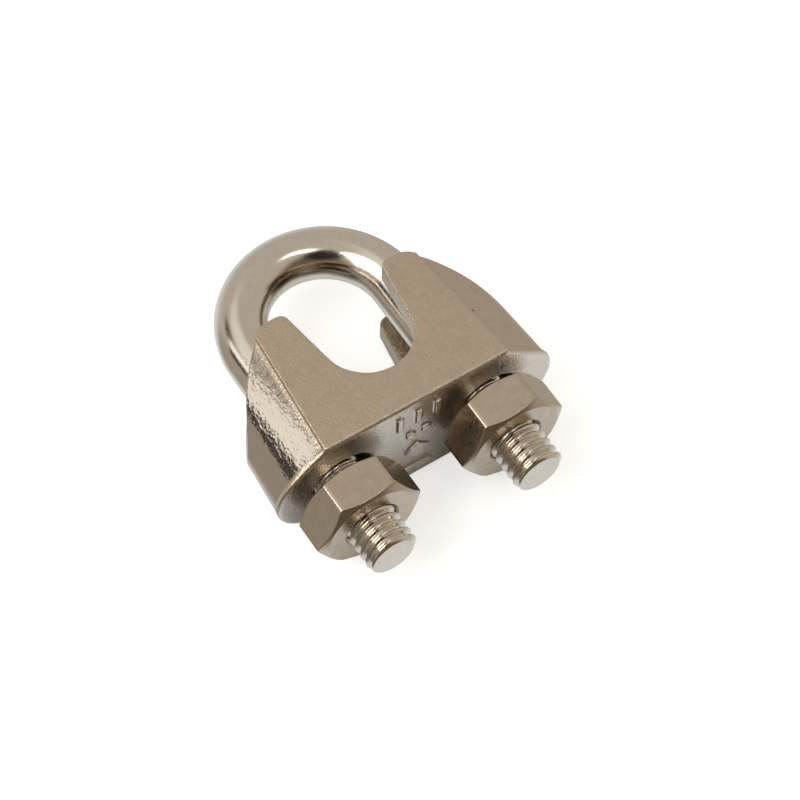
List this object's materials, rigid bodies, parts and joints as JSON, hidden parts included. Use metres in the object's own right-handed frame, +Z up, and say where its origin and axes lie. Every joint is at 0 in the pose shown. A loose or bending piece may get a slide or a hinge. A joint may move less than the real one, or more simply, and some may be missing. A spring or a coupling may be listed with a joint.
{
  "type": "wire rope clip",
  "caption": "U-bolt rope clip with a cast two-cheek saddle and hexagon nuts that clamp a folded-back wire rope.",
  "frame": {"origin": "middle of the part on the surface it lies on: under the centre of its bounding box", "axes": "+X from the left leg to the right leg, +Y along the legs from the studs to the bow, +Z up, along the clamped rope"},
  "size_m": [0.034, 0.0394, 0.0152],
  "materials": {
    "polished_bar": "drawn stainless bar, polished, with cut threads",
    "cast_stainless": "investment-cast stainless steel, tumbled satin faces and pebbled rounded ends",
    "nut_steel": "machined stainless steel, fine satin"
  },
  "bodies": {
    "u_bolt": {"u_bolt": "polished_bar"},
    "saddle": {"saddle": "cast_stainless"},
    "nut_left": {"hex_nut_left": "nut_steel"},
    "nut_right": {"hex_nut_right": "nut_steel"}
  },
  "joints": [
    {"name": "saddle_slide", "type": "slide", "parent": "u_bolt", "child": "saddle", "axis": [0, 1, 0], "range_m": [-0.0035, 0.0045]},
    {"name": "nut_left_turn", "type": "hinge", "parent": "saddle", "child": "nut_left", "pos_m": [-0.0095, -0.0093, 0.0076], "axis": [0, 1, 0], "range_deg": [-1261, 1621]},
    {"name": "nut_right_turn", "type": "hinge", "parent": "saddle", "child": "nut_right", "pos_m": [0.0085, -0.0093, 0.0076], "axis": [0, 1, 0], "range_deg": [-1261, 1621]}
  ],
  "couplings": [
    {"joint": "nut_left_turn", "follows": "saddle_slide", "rad_per_m": 6283.2},
    {"joint": "nut_right_turn", "follows": "saddle_slide", "rad_per_m": 6283.2}
  ]
}
